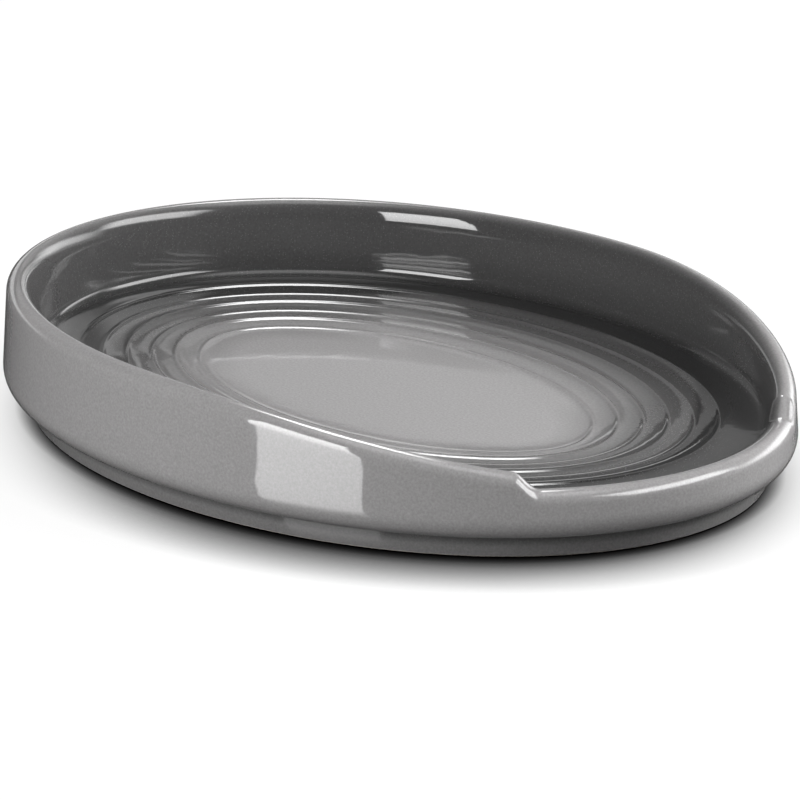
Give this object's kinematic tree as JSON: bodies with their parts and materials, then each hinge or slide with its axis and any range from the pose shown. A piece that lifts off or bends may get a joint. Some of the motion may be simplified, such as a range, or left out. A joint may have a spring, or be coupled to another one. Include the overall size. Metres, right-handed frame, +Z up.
{
  "type": "spoon rest",
  "caption": "Oval glazed stoneware spoon rest: a ringed floor, a rim falling to a notch with a low lip for the handle, and a bare foot.",
  "frame": {"origin": "middle of the oval, on the table that the foot stands on", "axes": "+X from the high end to the notch for the handle, along the length; +Z up"},
  "size_m": [0.156, 0.117, 0.023],
  "materials": {
    "clay": "fired stoneware, bare and matt on the foot ring",
    "glaze": "glossy mid-grey glaze with a fine speckle",
    "base_glaze": "glossy mid-grey glaze, thin, inside the foot ring"
  },
  "bodies": {
    "root": {"stoneware_body": "clay", "glaze_coat": "glaze", "base_glaze": "base_glaze"}
  },
  "joints": []
}
